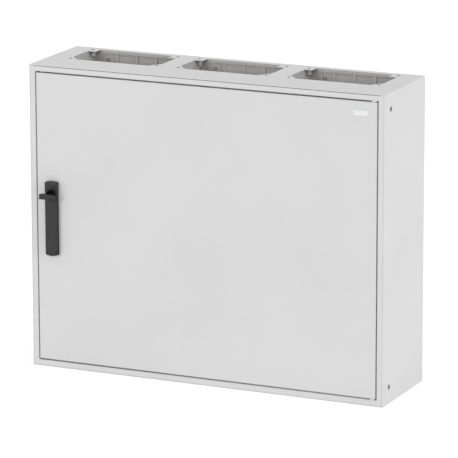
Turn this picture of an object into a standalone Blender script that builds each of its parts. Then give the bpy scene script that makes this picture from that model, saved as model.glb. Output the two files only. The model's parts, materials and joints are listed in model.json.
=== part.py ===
"""Wall-mounted switchboard cabinet of folded sheet steel, with a hinged door and a swing-lever lock.

Metres, +Z up, the door faces -Y.  The origin is under the middle of the cabinet's base, with the reach of
the lever included in the depth.  Depths are measured back from the front face, and lengths that stand in
front of the door are measured out from that same face.
"""
import math

import bmesh
import bpy

MM = 0.001

# ---- driving dimensions ------------------------------------------------------------------------------
WIDTH = 800 * MM
HEIGHT = 650 * MM
DEPTH = 220 * MM
SHEET = 1.5 * MM            # thickness of every folded sheet
SEAT = 0.3 * MM             # gap between two pieces that lie against each other
SEAM = 1.1 * MM             # visible joint between the top sheet and the front frame
SEAM_FROM_END = 10 * MM     # the joint is closed this far in from each side

FRAME_LIP = 13 * MM         # outer edge of the cabinet to the door opening
FRAME_REBATE = 21.5 * MM    # depth of the rebate that the door closes into
FRAME_GUTTER = 35 * MM      # outer edge of the cabinet to the clear opening
UPSTAND_FRONT = 8 * MM      # depth of the sealing edge behind the front face
REAR_RETURN = 20 * MM       # flange folded in at the back of each side panel

DOOR_GAP_SIDE = 3 * MM
DOOR_GAP_END = 3.5 * MM
DOOR_FLANGE = 12 * MM       # depth of the door's folded edges
GASKET_WIDTH = 10 * MM

HINGE_FROM_EDGE = 7 * MM    # hinge axis to the door's right edge
HINGE_DEPTH = 5.5 * MM
HINGE_PIN_RADIUS = 2 * MM
HINGE_BLOCK_LENGTH = 21 * MM
HINGE_BLOCK_WIDTH = 10 * MM

ENTRY_PITCH = 250 * MM      # cable entries in the top and the base
ENTRY_COUNT = 3
ENTRY_WIDTH = 206 * MM
ENTRY_LENGTH = 118 * MM
ENTRY_FRONT = 86 * MM
ENTRY_CHAMFER_X = 21 * MM   # front corners of an entry are cut off
ENTRY_CHAMFER_Y = 26 * MM
ENTRY_TAB_X = 17.5 * MM     # square tabs in the back corners
ENTRY_TAB_Y = 22 * MM
ENTRY_SCREW_X = 100 * MM    # screw holes from the middle of an entry
ENTRY_SCREW_INSET = 7 * MM  # screw holes from the front and back edge of an entry
ENTRY_SCREW_RADIUS = 3.7 * MM           # flush screw heads
ENTRY_SCREW_HEAD = 1.2 * MM
COLLAR_RIM = 7 * MM         # height of the rim along the back of each entry
COLLAR_HEIGHT = 40 * MM
COLLAR_WALL = 2 * MM
COLLAR_RIB_WIDTH = 6 * MM
COLLAR_RIB_DEPTH = 2.5 * MM
COLLAR_RIB_PITCH = 45.8 * MM
COLLAR_BOSS_RADIUS = 5.5 * MM
COLLAR_BOSS_LENGTH = 12 * MM
COLLAR_SLOTS = (-70 * MM, -65 * MM)     # small slots in the back wall, from the middle of an entry
COLLAR_SLOT_WIDTH = 2 * MM
COLLAR_SLOT_LENGTH = 7 * MM
COLLAR_SLOT_BELOW = 21 * MM     # middle of the slots below the top

LOCK_CLEARANCE = 1 * MM     # between the lock case and the door gasket
HANDLE_WIDTH = 26.5 * MM
HANDLE_LENGTH = 160 * MM
HANDLE_THICKNESS = 12.4 * MM
HANDLE_CROWN = 2.4 * MM     # how far the round ends stand past their corners
BASE_THICKNESS = 3 * MM
HEAD_LENGTH = 26.2 * MM     # raised head of the base, above the lever
HEAD_ROUND = 1.5 * MM
HEAD_JOINT = 1.2 * MM       # gap between the lever's end and the head
POCKET_WIDTH = 23.5 * MM    # arched finger pocket in the head
POCKET_HEIGHT = 6.5 * MM
LIP_REACH = 44 * MM         # tip of the lever's finger lip, out from the door
LIP_RISE = 10.1 * MM        # tip of the lip above the lever's end
LIP_TIP = 13.7 * MM         # height of the lip at its tip
LIP_WIDTH = 22 * MM
LIP_ROOT = 16 * MM          # height of the lip where it leaves the lever
LIP_CORNER_X = 7 * MM
LIP_CORNER_Z = 3.5 * MM
LIP_CURVE = 1.1             # power of the curve along the top of the lip
LIP_STEPS = 8
NOSE_THICKNESS = 2.3 * MM   # thickness of the lever's lower end
TURN_FROM_END = 14 * MM     # spindle axis above the lower end of the handle

SPINDLE_RADIUS = 4 * MM
JOURNAL_RADIUS = 2 * MM
TONGUE_WIDTH = 6 * MM
TONGUE_RADIUS = 2.8 * MM
SLOT_SKIN = 1.1 * MM        # front wall of the lever over the tongue
SLOT_ABOVE_PIN = 8 * MM
LEVER_PIN_RADIUS = 1.2 * MM
GEAR_MODULE = 1.25 * MM
GEAR_TEETH = 8
GEAR_ROOT = 0.9             # tooth sizes as shares of the module
GEAR_TIP = 0.6
GEAR_FLANKS = (0.27, 0.1)   # half widths of a tooth at its root and tip, as shares of the pitch
RACK_ROOT = 0.8
RACK_TIP = 0.55
RACK_TEETH = 7
RACK_FLANKS = (0.24, 0.09)
ROD_WIDTH = 3.8 * MM
ROD_THICKNESS = 4 * MM
ROD_BEHIND_FRAME = 0.8 * MM # rods pass this far behind the rebate
ROD_SHORT = 0.8 * MM        # rod tips stop this far from the clear opening's edge
LOCK_HALF_LENGTH = 30 * MM
LOCK_WALL = 1.2 * MM
RUNNING_GAP = 0.4 * MM

SCREW_RADIUS = 5.3 * MM     # round plugs of the side fixings
SCREW_DEPTH = 34.5 * MM
SCREW_FROM_END = 34.5 * MM
SHOULDER_SHARE = 1.4        # a plug's shoulder against its own radius

RAIL_ROW_PITCH = 150 * MM
RAIL_ROWS = 4
RAIL_WIDTH = 35 * MM
RAIL_HAT = 27 * MM
RAIL_HEIGHT = 7.5 * MM
RAIL_SHEET = 1 * MM
POST_WIDTH = 30 * MM
POST_DEPTH = 25 * MM
POST_FROM_SIDE = 60 * MM

WALL_HOLE_INSET = 50 * MM    # wall fixings from the edges of the back
WALL_HOLE_RADIUS = 4.5 * MM

BUFFER_FROM_EDGE = 12 * MM
BUFFER_WIDTH = 4 * MM
RAIL_DROP = 15 * MM         # rows sit this far below the middle, clear of the entry collars
EARTH_BAR_LENGTH = 300 * MM
EARTH_BAR_HEIGHT = 12 * MM
EARTH_BAR_THICKNESS = 5 * MM
EARTH_BAR_Z = 45 * MM
EARTH_SUPPORT_WIDTH = 14 * MM
EARTH_HOLE_PITCH = 16 * MM
EARTH_HOLE_RADIUS = 2.5 * MM
STIFFENER_WIDTH = 40 * MM
STIFFENER_DEPTH = 12 * MM
LABEL_FROM_SIDE = 52.5 * MM
LABEL_FROM_TOP = 41 * MM
LABEL_WIDTH = 31.6 * MM
LABEL_HEIGHT = 10.6 * MM
LABEL_THICKNESS = 0.4 * MM
RACK_LENGTH = 20 * MM       # rods reach this far past the spindle
GUIDE_FROM_END = 75 * MM
GUIDE_LENGTH = 12 * MM

# ---- derived places ----------------------------------------------------------------------------------
FRONT = (LIP_REACH - DEPTH) / 2
LEFT = -WIDTH / 2
RIGHT = WIDTH / 2
DOOR_LEFT = LEFT + FRAME_LIP + DOOR_GAP_SIDE
DOOR_RIGHT = RIGHT - FRAME_LIP - DOOR_GAP_SIDE
DOOR_LOW = FRAME_LIP + DOOR_GAP_END
DOOR_HIGH = HEIGHT - FRAME_LIP - DOOR_GAP_END
HINGE_X = DOOR_RIGHT - HINGE_FROM_EDGE
GASKET_INNER = FRAME_GUTTER - SHEET / 2 + GASKET_WIDTH / 2
GEAR_RADIUS = GEAR_MODULE * GEAR_TEETH / 2
ROD_OFFSET = GEAR_RADIUS + GEAR_MODULE * RACK_ROOT
LOCK_HALF_WIDTH = ROD_OFFSET + ROD_WIDTH + RUNNING_GAP + LOCK_WALL
HANDLE_X = LEFT + GASKET_INNER + LOCK_CLEARANCE + LOCK_HALF_WIDTH
HANDLE_LOW = (HEIGHT - HANDLE_LENGTH) / 2
HANDLE_HIGH = HANDLE_LOW + HANDLE_LENGTH
HEAD_LOW = HANDLE_HIGH - HEAD_LENGTH
LEVER_END = HEAD_LOW - HEAD_JOINT
TURN_Z = HANDLE_LOW + TURN_FROM_END
BASE_FRONT = SEAT + BASE_THICKNESS
LEVER_BACK = BASE_FRONT + 2 * SEAT
LIFT_OUT = HANDLE_THICKNESS - TONGUE_RADIUS - 5 * SEAT
ROD_FRONT = FRAME_REBATE + ROD_BEHIND_FRAME
ENTRY_BACK = ENTRY_FRONT + ENTRY_LENGTH
REAR_FACE = DEPTH - SHEET - SEAT        # where pieces meet the back sheet
RAIL_BACK = REAR_FACE - POST_DEPTH - SEAT
ENTRY_CENTRES = [(i - (ENTRY_COUNT - 1) / 2) * ENTRY_PITCH for i in range(ENTRY_COUNT)]
SIDE_NAMES = ["left", "middle", "right"]


def depth(value):
    """World y of a point that lies this far behind the front face."""
    return FRONT + value


def out(value):
    """World y of a point that stands this far in front of the door."""
    return FRONT - value


# ---- scene and materials -----------------------------------------------------------------------------
for old in list(bpy.data.objects):
    bpy.data.objects.remove(old, do_unlink=True)


def material(name, colour, roughness, metallic=0.0):
    """A Principled material with one plain colour."""
    made = bpy.data.materials.new(name)
    made.use_nodes = True
    shader = made.node_tree.nodes["Principled BSDF"]
    shader.inputs["Base Color"].default_value = (*colour, 1)
    shader.inputs["Roughness"].default_value = roughness
    shader.inputs["Metallic"].default_value = metallic
    return made


PAINT = material("light_grey_powder_coat", (0.68, 0.68, 0.67), 0.45)
PLASTIC = material("black_moulded_plastic", (0.05, 0.05, 0.05), 0.4)
GREY_PLASTIC = material("grey_moulded_plastic", (0.22, 0.22, 0.22), 0.5)
ZINC = material("galvanised_steel", (0.55, 0.56, 0.58), 0.4, 1.0)
STEEL = material("bright_steel", (0.5, 0.5, 0.5), 0.3, 1.0)
BRASS = material("brass", (0.72, 0.52, 0.2), 0.35, 1.0)
BLACK_STEEL = material("blackened_steel", (0.06, 0.06, 0.06), 0.45, 1.0)
DARK_PLASTIC = material("dark_grey_moulded_plastic", (0.13, 0.13, 0.13), 0.5)
RUBBER = material("black_foam_rubber", (0.03, 0.03, 0.03), 0.8)
LABEL = material("white_label", (0.85, 0.85, 0.85), 0.4)


# ---- shape helpers -----------------------------------------------------------------------------------
def solid(name, verts, faces, finish=None):
    """An object from points and faces, with its faces turned outwards."""
    mesh = bpy.data.meshes.new(name)
    mesh.from_pydata(verts, [], faces)
    work = bmesh.new()
    work.from_mesh(mesh)
    bmesh.ops.recalc_face_normals(work, faces=work.faces)
    work.to_mesh(mesh)
    work.free()
    if finish is not None:
        mesh.materials.append(finish)
    made = bpy.data.objects.new(name, mesh)
    bpy.context.scene.collection.objects.link(made)
    return made


def prism(name, outline, axis, low, high, finish=None):
    """An outline of (a, b) points carried along x, y or z; a and b are the other two axes, in order."""
    def point(a, b, along):
        return {"x": (along, a, b), "y": (a, along, b), "z": (a, b, along)}[axis]
    count = len(outline)
    verts = [point(a, b, low) for a, b in outline] + [point(a, b, high) for a, b in outline]
    faces = [tuple(range(count)), tuple(range(2 * count - 1, count - 1, -1))]
    for i in range(count):
        j = (i + 1) % count
        faces.append((i, j, count + j, count + i))
    return solid(name, verts, faces, finish)


def box(name, x, y, z, finish=None):
    """A block between two values on each axis."""
    return prism(name, [(x[0], y[0]), (x[1], y[0]), (x[1], y[1]), (x[0], y[1])], "z", z[0], z[1], finish)


def circle(a, b, radius, steps=24):
    """Points round a circle."""
    turns = [2 * math.pi * i / steps for i in range(steps)]
    return [(a + radius * math.cos(t), b + radius * math.sin(t)) for t in turns]


def boolean(target, tool, operation):
    """Combine two solids, keep the result in the first and remove the second."""
    change = target.modifiers.new(operation.lower(), "BOOLEAN")
    change.operation = operation
    change.solver = "EXACT"
    change.object = tool
    graph = bpy.context.evaluated_depsgraph_get()
    mesh = bpy.data.meshes.new_from_object(target.evaluated_get(graph))
    target.modifiers.remove(change)
    target.data = mesh
    bpy.data.objects.remove(tool, do_unlink=True)
    return target


def cut(target, tool):
    return boolean(target, tool, "DIFFERENCE")


def join(target, tool):
    return boolean(target, tool, "UNION")


def ring(name, x, b, section, axis, finish=None):
    """A closed section carried round a rectangle with mitred corners.

    section holds (inset, along) points: the inset from the rectangle's edge and the place along the axis.
    """
    verts = []
    for inset, along in section:
        for a, c in ((x[0] + inset, b[0] + inset), (x[1] - inset, b[0] + inset),
                     (x[1] - inset, b[1] - inset), (x[0] + inset, b[1] - inset)):
            verts.append((a, along, c) if axis == "y" else (a, c, along))
    count = len(section)
    faces = []
    for i in range(count):
        for j in range(4):
            after = (i + 1) % count
            side = (j + 1) % 4
            faces.append((4 * i + j, 4 * i + side, 4 * after + side, 4 * after + j))
    return solid(name, verts, faces, finish)


def smooth(made, degrees=30):
    """Shade a turned or bevelled piece smooth, with its edges kept."""
    made.data.shade_smooth()
    made.data.set_sharp_from_angle(angle=math.radians(degrees))
    return made


def carried_by(pieces, name, place):
    """Parent pieces to an empty on a joint's axis, and leave them where they are."""
    axis = bpy.data.objects.new(name, None)
    axis.location = place
    bpy.context.scene.collection.objects.link(axis)
    bpy.context.view_layer.update()
    for made in pieces:
        made.parent = axis
        made.matrix_parent_inverse = axis.matrix_world.inverted()
    return axis


# ---- shell -------------------------------------------------------------------------------------------
def side_panel(side):
    """A side sheet with its rear flange folded inwards and two holes for the side fixings."""
    sign = -1 if side == "left" else 1
    outer = sign * WIDTH / 2
    inner = outer - sign * SHEET
    fold = outer - sign * REAR_RETURN
    panel = box("side_panel_" + side, (min(outer, inner), max(outer, inner)), (depth(0), depth(DEPTH)),
                (0, HEIGHT), PAINT)
    middle = (outer + inner) / 2
    flange = box("flange", (min(fold, middle), max(fold, middle)),
                 (depth(REAR_FACE - SHEET), depth(REAR_FACE)), (SHEET + SEAT, HEIGHT - SHEET - SEAT))
    join(panel, flange)
    for z in (SCREW_FROM_END, HEIGHT - SCREW_FROM_END):
        hole = prism("hole", circle(depth(SCREW_DEPTH), z, SCREW_RADIUS + SEAT), "x",
                     outer - 2 * SHEET, outer + 2 * SHEET)
        cut(panel, hole)
    return panel


def entry_outline(centre):
    """Outline of one cable entry: slanting screw tabs in the front corners, square ones at the back."""
    half = ENTRY_WIDTH / 2
    front = depth(ENTRY_FRONT)
    back = depth(ENTRY_BACK)
    right = [(half - ENTRY_CHAMFER_X, front), (half, front + ENTRY_CHAMFER_Y), (half, back - ENTRY_TAB_Y),
             (half - ENTRY_TAB_X, back - ENTRY_TAB_Y), (half - ENTRY_TAB_X, back)]
    return [(centre + x, y) for x, y in right] + [(centre - x, y) for x, y in reversed(right)]


def screw_places(centre):
    """The four screws round one cable entry."""
    ys = (depth(ENTRY_FRONT + ENTRY_SCREW_INSET), depth(ENTRY_BACK - ENTRY_SCREW_INSET))
    return [(centre + sx * ENTRY_SCREW_X, y) for sx in (-1, 1) for y in ys]


def end_panel(name, low):
    """The top or base sheet, with its cable entries and their screw holes."""
    inside = WIDTH / 2 - SHEET - SEAT
    panel = box(name, (-inside, inside), (depth(0), depth(DEPTH)), (low, low + SHEET), PAINT)
    for centre in ENTRY_CENTRES:
        cut(panel, prism("entry", entry_outline(centre), "z", low - SHEET, low + 2 * SHEET))
        for x, y in screw_places(centre):
            hole = circle(x, y, ENTRY_SCREW_RADIUS + SEAT, 16)
            cut(panel, prism("hole", hole, "z", low - SHEET, low + 2 * SHEET))
    return panel


def rear_panel():
    """The back sheet, with four holes for the wall fixings."""
    inside = WIDTH / 2 - SHEET - SEAT
    panel = box("rear_panel", (-inside, inside), (depth(DEPTH - SHEET), depth(DEPTH)),
                (SHEET + SEAT, HEIGHT - SHEET - SEAT), PAINT)
    for sx in (-1, 1):
        for z in (WALL_HOLE_INSET, HEIGHT - WALL_HOLE_INSET):
            hole = circle(sx * (WIDTH / 2 - WALL_HOLE_INSET), z, WALL_HOLE_RADIUS)
            cut(panel, prism("hole", hole, "y", depth(DEPTH - 2 * SHEET), depth(DEPTH + SHEET)))
    return panel


def front_frame():
    """The rebated frame: a visible lip, a return wall, a gutter floor and an upstand that meets the gasket.

    The joint between the top lip and the top sheet is open, except near the corners.
    """
    edge = SHEET + SEAT
    wall = FRAME_LIP
    floor = FRAME_REBATE
    section = [(edge, depth(0)), (wall, depth(0)), (wall, depth(floor - SHEET)),
               (FRAME_GUTTER - SHEET, depth(floor - SHEET)), (FRAME_GUTTER - SHEET, depth(UPSTAND_FRONT)),
               (FRAME_GUTTER, depth(UPSTAND_FRONT)), (FRAME_GUTTER, depth(floor)),
               (wall - SHEET, depth(floor)), (wall - SHEET, depth(SHEET)), (edge, depth(SHEET))]
    frame = ring("front_frame", (LEFT, RIGHT), (0, HEIGHT), section, "y", PAINT)
    reach = WIDTH / 2 - SEAM_FROM_END
    return cut(frame, box("seam", (-reach, reach), (depth(-SHEET), depth(2 * SHEET)),
                          (HEIGHT - SHEET - SEAM, HEIGHT)))


def side_screw(side, end):
    """A round plug in a side hole, with a wider shoulder behind the sheet."""
    sign = -1 if side == "left" else 1
    z = SCREW_FROM_END if end == "lower" else HEIGHT - SCREW_FROM_END
    outer = sign * (WIDTH / 2 - SEAT / 2)
    shoulder = sign * (WIDTH / 2 - SHEET - SEAT)
    inner = shoulder - sign * 2 * SHEET
    plug = prism("side_screw_%s_%s" % (side, end), circle(depth(SCREW_DEPTH), z, SCREW_RADIUS), "x",
                 min(outer, inner + sign * SHEET), max(outer, inner + sign * SHEET), DARK_PLASTIC)
    disc = prism("disc", circle(depth(SCREW_DEPTH), z, SCREW_RADIUS * SHOULDER_SHARE), "x",
                 min(shoulder, inner), max(shoulder, inner))
    return smooth(join(plug, disc))


def flange_collar(index):
    """The open collar under one cable entry: ribs, slots and a rim on its back wall, and screw bosses."""
    centre = ENTRY_CENTRES[index]
    top = HEIGHT - SHEET - SEAT
    low = top - COLLAR_HEIGHT
    half = ENTRY_WIDTH / 2 + SHEET + COLLAR_WALL
    front = depth(ENTRY_FRONT - SHEET - COLLAR_WALL)
    back_wall = ENTRY_BACK + SHEET + SEAT
    back = depth(back_wall + COLLAR_WALL)
    section = [(0, low), (COLLAR_WALL, low), (COLLAR_WALL, top), (0, top)]
    collar = ring("flange_collar_" + SIDE_NAMES[index], (centre - half, centre + half), (front, back),
                  section, "z", GREY_PLASTIC)
    reach = ENTRY_WIDTH / 2 - ENTRY_TAB_X - SEAT
    rim_top = HEIGHT - SEAT
    rim_low = HEIGHT - COLLAR_RIM
    rim_back = depth(ENTRY_BACK - SEAT)
    rim_front = rim_back - SHEET
    rim = [(rim_front, rim_low), (depth(back_wall + COLLAR_WALL / 2), rim_low),
           (depth(back_wall + COLLAR_WALL / 2), rim_low + COLLAR_WALL), (rim_back, rim_low + COLLAR_WALL),
           (rim_back, rim_top), (rim_front, rim_top)]
    join(collar, prism("rim", rim, "x", centre - reach, centre + reach))
    for i in (-1, 0, 1):
        x = centre + i * COLLAR_RIB_PITCH
        rib = box("rib", (x - COLLAR_RIB_WIDTH / 2, x + COLLAR_RIB_WIDTH / 2),
                  (depth(back_wall - COLLAR_RIB_DEPTH), depth(back_wall + COLLAR_WALL / 2)),
                  (low, rim_low + COLLAR_WALL / 2))
        join(collar, rib)
    for x, y in screw_places(centre):
        join(collar, prism("boss", circle(x, y, COLLAR_BOSS_RADIUS, 16), "z", top - COLLAR_BOSS_LENGTH, top))
    middle = HEIGHT - COLLAR_SLOT_BELOW
    for offset in COLLAR_SLOTS:
        x = centre + offset
        cut(collar, box("slot", (x - COLLAR_SLOT_WIDTH / 2, x + COLLAR_SLOT_WIDTH / 2),
                        (depth(back_wall - SHEET), depth(back_wall + 2 * COLLAR_WALL)),
                        (middle - COLLAR_SLOT_LENGTH / 2, middle + COLLAR_SLOT_LENGTH / 2)))
    return collar


def flange_plate(index):
    """The blanking plate that closes one entry in the base, seated on the inside of the sheet."""
    low = SHEET + SEAT
    centre = ENTRY_CENTRES[index]
    half = ENTRY_WIDTH / 2 + ENTRY_SCREW_INSET
    plate = box("base_flange_plate_" + SIDE_NAMES[index], (centre - half, centre + half),
                (depth(ENTRY_FRONT - ENTRY_SCREW_INSET), depth(ENTRY_BACK + ENTRY_SCREW_INSET)),
                (low, low + SHEET), PAINT)
    for x, y in screw_places(centre):
        cut(plate, prism("hole", circle(x, y, ENTRY_SCREW_RADIUS / 2, 12), "z", 0, low + 2 * SHEET))
    return plate


def flange_screws(index):
    """The four screw heads that lie flush in the top sheet and hold one collar."""
    for number, (x, y) in enumerate(screw_places(ENTRY_CENTRES[index]), 1):
        name = "flange_screw_%s_%d" % (SIDE_NAMES[index], number)
        low = HEIGHT - SHEET
        head = circle(x, y, ENTRY_SCREW_RADIUS, 16)
        smooth(prism(name, head, "z", low, low + ENTRY_SCREW_HEAD, BLACK_STEEL))


def hinge_parts(end):
    """A frame bracket with its fixed pin, and the block that turns on the pin inside the door's corner."""
    sign = 1 if end == "upper" else -1
    wall = HEIGHT - FRAME_LIP if end == "upper" else FRAME_LIP
    edge = DOOR_HIGH if end == "upper" else DOOR_LOW
    half = HINGE_BLOCK_WIDTH / 2
    bracket_far = wall - sign * SEAT
    bracket_near = edge + sign * 2 * SEAT
    bracket = box("hinge_bracket_" + end, (HINGE_X - half, HINGE_X + half),
                  (depth(SEAT), depth(HINGE_DEPTH + half)),
                  (min(bracket_far, bracket_near), max(bracket_far, bracket_near)), PAINT)
    bore = HINGE_PIN_RADIUS + SEAT
    cut(bracket, prism("bore", circle(HINGE_X, depth(HINGE_DEPTH), bore), "z", 0, HEIGHT))
    block_near = edge - sign * (SHEET + SEAT)
    block_far = block_near - sign * HINGE_BLOCK_LENGTH
    block = box("hinge_block_" + end, (HINGE_X - half, HINGE_X + half),
                (depth(SHEET + SEAT), depth(HINGE_DEPTH + half)),
                (min(block_near, block_far), max(block_near, block_far)), ZINC)
    cut(block, prism("bore", circle(HINGE_X, depth(HINGE_DEPTH), bore), "z", 0, HEIGHT))
    pin_low = min(bracket_far, block_far)
    pin_high = max(bracket_far, block_far)
    pin = prism("hinge_pin_" + end, circle(HINGE_X, depth(HINGE_DEPTH), HINGE_PIN_RADIUS), "z",
                pin_low, pin_high, STEEL)
    smooth(pin)
    return bracket, pin, block


def door_buffer():
    """A small plastic buffer on the frame, above the door's free corner."""
    x = DOOR_LEFT + BUFFER_FROM_EDGE
    low = DOOR_HIGH + 2 * SEAT
    high = HEIGHT - FRAME_LIP - SEAT
    return box("door_buffer", (x - BUFFER_WIDTH / 2, x + BUFFER_WIDTH / 2),
               (depth(2 * SHEET), depth(2 * SHEET + BUFFER_WIDTH)), (low, high), GREY_PLASTIC)


# ---- inside the cabinet ------------------------------------------------------------------------------
def mounting_post(side):
    """An upright channel on the back sheet that carries the rails."""
    sign = -1 if side == "left" else 1
    x = sign * (WIDTH / 2 - POST_FROM_SIDE - POST_WIDTH / 2)
    half = POST_WIDTH / 2
    back = depth(REAR_FACE)
    front = back - POST_DEPTH
    outline = [(x - half, back), (x - half, front), (x + half, front), (x + half, back),
               (x + half - SHEET, back), (x + half - SHEET, front + SHEET),
               (x - half + SHEET, front + SHEET), (x - half + SHEET, back)]
    inset = FRAME_GUTTER
    return prism("mounting_post_" + side, outline, "z", inset, HEIGHT - COLLAR_HEIGHT - inset / 2, ZINC)


def din_rail(row):
    """A top-hat rail across the two posts."""
    z = HEIGHT / 2 + (row - (RAIL_ROWS - 1) / 2) * RAIL_ROW_PITCH - RAIL_DROP
    back = RAIL_BACK
    front = back - RAIL_HEIGHT
    half = RAIL_WIDTH / 2
    hat = RAIL_HAT / 2
    t = RAIL_SHEET
    outline = [(depth(front), z - half), (depth(front), z - hat + t), (depth(back - t), z - hat + t),
               (depth(back - t), z + hat - t), (depth(front), z + hat - t), (depth(front), z + half),
               (depth(front + t), z + half), (depth(front + t), z + hat), (depth(back), z + hat),
               (depth(back), z - hat), (depth(front + t), z - hat), (depth(front + t), z - half)]
    reach = WIDTH / 2 - POST_FROM_SIDE
    return prism("din_rail_%d" % (row + 1), outline, "x", -reach, reach, ZINC)


def earth_bar():
    """The brass earth bar with its clamping holes, on two supports that stand on the back sheet."""
    half = EARTH_BAR_LENGTH / 2
    back = depth(RAIL_BACK)
    low = EARTH_BAR_Z - EARTH_BAR_HEIGHT / 2
    bar = box("earth_bar", (-half, half), (back - EARTH_BAR_THICKNESS, back),
              (low, low + EARTH_BAR_HEIGHT), BRASS)
    holes = int((EARTH_BAR_LENGTH - 2 * EARTH_SUPPORT_WIDTH) // EARTH_HOLE_PITCH)
    for i in range(holes):
        x = (i - (holes - 1) / 2) * EARTH_HOLE_PITCH
        hole = circle(x, EARTH_BAR_Z, EARTH_HOLE_RADIUS, 12)
        cut(bar, prism("hole", hole, "y", back - 2 * EARTH_BAR_THICKNESS, back + SHEET))
    for side, sign in (("left", -1), ("right", 1)):
        x = sign * (half - EARTH_SUPPORT_WIDTH / 2)
        wide = EARTH_SUPPORT_WIDTH / 2
        box("earth_bar_support_" + side, (x - wide, x + wide), (back + SEAT, depth(REAR_FACE)),
            (low, low + EARTH_BAR_HEIGHT), GREY_PLASTIC)


# ---- door --------------------------------------------------------------------------------------------
def door_panel():
    """A flat sheet with its four edges folded back, and holes for the spindle and the two hinge pins."""
    door = box("door_panel", (DOOR_LEFT, DOOR_RIGHT), (depth(0), depth(DOOR_FLANGE)),
               (DOOR_LOW, DOOR_HIGH), PAINT)
    cut(door, box("tray", (DOOR_LEFT + SHEET, DOOR_RIGHT - SHEET), (depth(SHEET), depth(2 * DOOR_FLANGE)),
                  (DOOR_LOW + SHEET, DOOR_HIGH - SHEET)))
    pin_hole = circle(HINGE_X, depth(HINGE_DEPTH), HINGE_PIN_RADIUS + SEAT)
    cut(door, prism("pin_holes", pin_hole, "z", 0, HEIGHT))
    spindle_hole = circle(HANDLE_X, TURN_Z, SPINDLE_RADIUS + RUNNING_GAP)
    cut(door, prism("spindle_hole", spindle_hole, "y", out(SHEET), depth(2 * SHEET)))
    return door


def door_gasket():
    """A foam strip on the inside of the door, centred on the frame's upstand."""
    outer = GASKET_INNER - GASKET_WIDTH - FRAME_LIP
    front = depth(SHEET + SEAT)
    back = depth(UPSTAND_FRONT - SEAT)
    section = [(outer, front), (outer + GASKET_WIDTH, front), (outer + GASKET_WIDTH, back), (outer, back)]
    return ring("door_gasket", (LEFT + FRAME_LIP, RIGHT - FRAME_LIP), (FRAME_LIP, HEIGHT - FRAME_LIP),
                section, "y", RUBBER)


def door_stiffener():
    """An upright hat channel down the middle of the door's inner face."""
    half = STIFFENER_WIDTH / 2
    front = depth(SHEET + SEAT)
    back = front + STIFFENER_DEPTH
    outline = [(-half, front), (half, front), (half, front + SHEET), (half / 2, front + SHEET),
               (half / 2, back), (-half / 2, back), (-half / 2, front + SHEET), (-half, front + SHEET)]
    hollow = [(-half / 2 + SHEET, front - SHEET), (half / 2 - SHEET, front - SHEET),
              (half / 2 - SHEET, back - SHEET), (-half / 2 + SHEET, back - SHEET)]
    ends = FRAME_GUTTER + GASKET_WIDTH
    channel = prism("door_stiffener", outline, "z", ends, HEIGHT - ends, PAINT)
    return cut(channel, prism("hollow", hollow, "z", ends - SHEET, HEIGHT - ends + SHEET))


def label_plate():
    """A blank plate in the door's upper hinge corner."""
    x = RIGHT - LABEL_FROM_SIDE
    z = HEIGHT - LABEL_FROM_TOP
    return box("label_plate", (x - LABEL_WIDTH / 2, x + LABEL_WIDTH / 2),
               (out(SEAT + LABEL_THICKNESS), out(SEAT)),
               (z - LABEL_HEIGHT / 2, z + LABEL_HEIGHT / 2), LABEL)


# ---- lock --------------------------------------------------------------------------------------------
def handle_outline(half, low, high, low_crown, high_crown, steps=8):
    """Front outline of the handle: straight sides, and ends that crown as a flat arc."""
    points = []
    for i in range(steps + 1):
        t = 2 * i / steps - 1
        points.append((HANDLE_X + half * t, low + low_crown * t * t))
    for i in range(steps + 1):
        t = 1 - 2 * i / steps
        points.append((HANDLE_X + half * t, high - high_crown * t * t))
    return points


def handle_base():
    """The fixed base: a flat plate behind the lever, and above it a raised head with a finger pocket."""
    half = HANDLE_WIDTH / 2
    face = HANDLE_THICKNESS
    side = [(out(SEAT), HANDLE_LOW), (out(BASE_FRONT), HANDLE_LOW), (out(BASE_FRONT), HEAD_LOW),
            (out(face), HEAD_LOW), (out(face), HANDLE_HIGH - HEAD_ROUND),
            (out(face - HEAD_ROUND), HANDLE_HIGH), (out(SEAT), HANDLE_HIGH)]
    base = prism("handle_base", side, "x", HANDLE_X - half, HANDLE_X + half, PLASTIC)
    front = handle_outline(half, HANDLE_LOW, HANDLE_HIGH, HANDLE_CROWN, HANDLE_CROWN)
    boolean(base, prism("front", front, "y", out(2 * face), depth(face)), "INTERSECT")
    arch = [(HANDLE_X + POCKET_WIDTH / 2, HEAD_LOW - HEAD_JOINT)]
    for i in range(11):
        turn = math.pi * i / 10
        arch.append((HANDLE_X + POCKET_WIDTH / 2 * math.cos(turn), HEAD_LOW + POCKET_HEIGHT * math.sin(turn)))
    arch.append((HANDLE_X - POCKET_WIDTH / 2, HEAD_LOW - HEAD_JOINT))
    cut(base, prism("pocket", arch, "y", out(2 * face), out(BASE_FRONT)))
    hole = circle(HANDLE_X, TURN_Z, SPINDLE_RADIUS + RUNNING_GAP)
    cut(base, prism("spindle_hole", hole, "y", out(face), depth(face)))
    return base


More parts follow.
